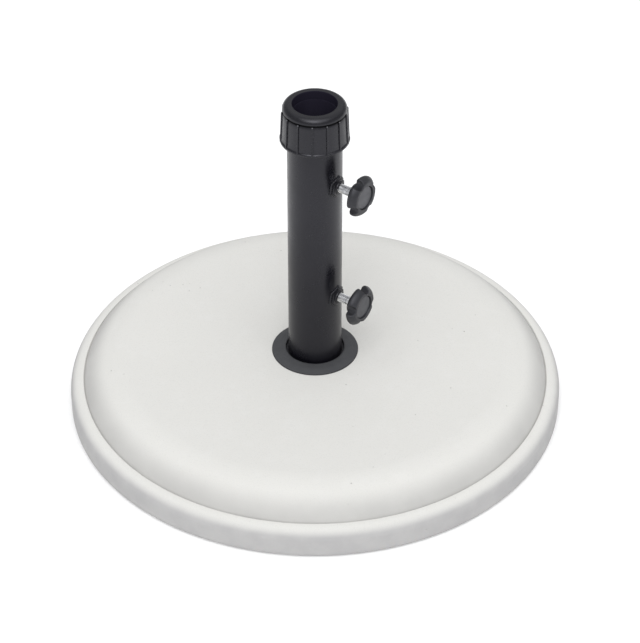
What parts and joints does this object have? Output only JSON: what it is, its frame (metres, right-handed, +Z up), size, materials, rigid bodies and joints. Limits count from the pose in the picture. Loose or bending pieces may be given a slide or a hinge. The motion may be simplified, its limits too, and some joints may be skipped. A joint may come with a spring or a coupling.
{
  "type": "parasol base",
  "caption": "Round cast-concrete parasol base with a black steel stand tube, hand clamp screws and a ribbed lift-off collar on the tube's mouth.",
  "frame": {"origin": "on the ground, on the stand tube's axis, at the bottom centre of the slab", "axes": "+Z up along the stand tube; both clamp screws lie along +X"},
  "size_m": [0.5, 0.5, 0.351],
  "materials": {
    "concrete": "bare cast, matt",
    "rebar_steel": "rolled, dull",
    "foot_rubber": "matt",
    "rosette_plastic": "matt",
    "powder_coat": "satin powder coat",
    "plate_steel": "satin powder coat",
    "zinc_steel": "zinc plated",
    "spring_steel": "oiled",
    "cover_plastic": "matt",
    "sleeve_plastic": "matt",
    "nut_paint": "satin powder coat",
    "collar_plastic": "fine moulded grain",
    "pad_nylon": "natural nylon",
    "screw_zinc": "zinc plated",
    "knob_plastic": "fine moulded grain",
    "knob_cap_plastic": "smooth satin"
  },
  "bodies": {
    "root": {"concrete_slab": "concrete", "outer_hoop": "rebar_steel", "inner_hoop": "rebar_steel", "spoke_bars": "rebar_steel", "rubber_feet": "foot_rubber", "tube_rosette": "rosette_plastic", "stand_tube": "powder_coat", "foot_plate": "plate_steel", "foot_nut": "zinc_steel", "anchor_bolt": "zinc_steel", "anchor_washer": "zinc_steel", "spring_washer": "spring_steel", "base_cover": "cover_plastic", "reducer_sleeve": "sleeve_plastic", "upper_nut": "nut_paint", "lower_nut": "nut_paint"},
    "collar": {"top_collar": "collar_plastic"},
    "upper_thrust": {"upper_pad": "pad_nylon"},
    "upper_clamp": {"upper_screw": "screw_zinc", "upper_knob": "knob_plastic", "upper_knob_cap": "knob_cap_plastic"},
    "lower_thrust": {"lower_pad": "pad_nylon"},
    "lower_clamp": {"lower_screw": "screw_zinc", "lower_knob": "knob_plastic", "lower_knob_cap": "knob_cap_plastic"}
  },
  "joints": [
    {"name": "collar_lift", "type": "slide", "parent": "root", "child": "collar", "axis": [0, 0, 1], "range_m": [0, 0.045]},
    {"name": "upper_feed", "type": "slide", "parent": "root", "child": "upper_thrust", "axis": [-1, 0, 0], "range_m": [-0.0015, 0.015]},
    {"name": "upper_turn", "type": "hinge", "parent": "upper_thrust", "child": "upper_clamp", "pos_m": [0.05, 0, 0.266], "axis": [-1, 0, 0], "range_deg": [-360, 3600]},
    {"name": "lower_feed", "type": "slide", "parent": "root", "child": "lower_thrust", "axis": [-1, 0, 0], "range_m": [-0.0015, 0.015]},
    {"name": "lower_turn", "type": "hinge", "parent": "lower_thrust", "child": "lower_clamp", "pos_m": [0.05, 0, 0.135], "axis": [-1, 0, 0], "range_deg": [-360, 3600]}
  ],
  "couplings": [
    {"joint": "upper_feed", "follows": "upper_turn", "m_per_rad": 0.00023873},
    {"joint": "lower_feed", "follows": "lower_turn", "m_per_rad": 0.00023873}
  ]
}
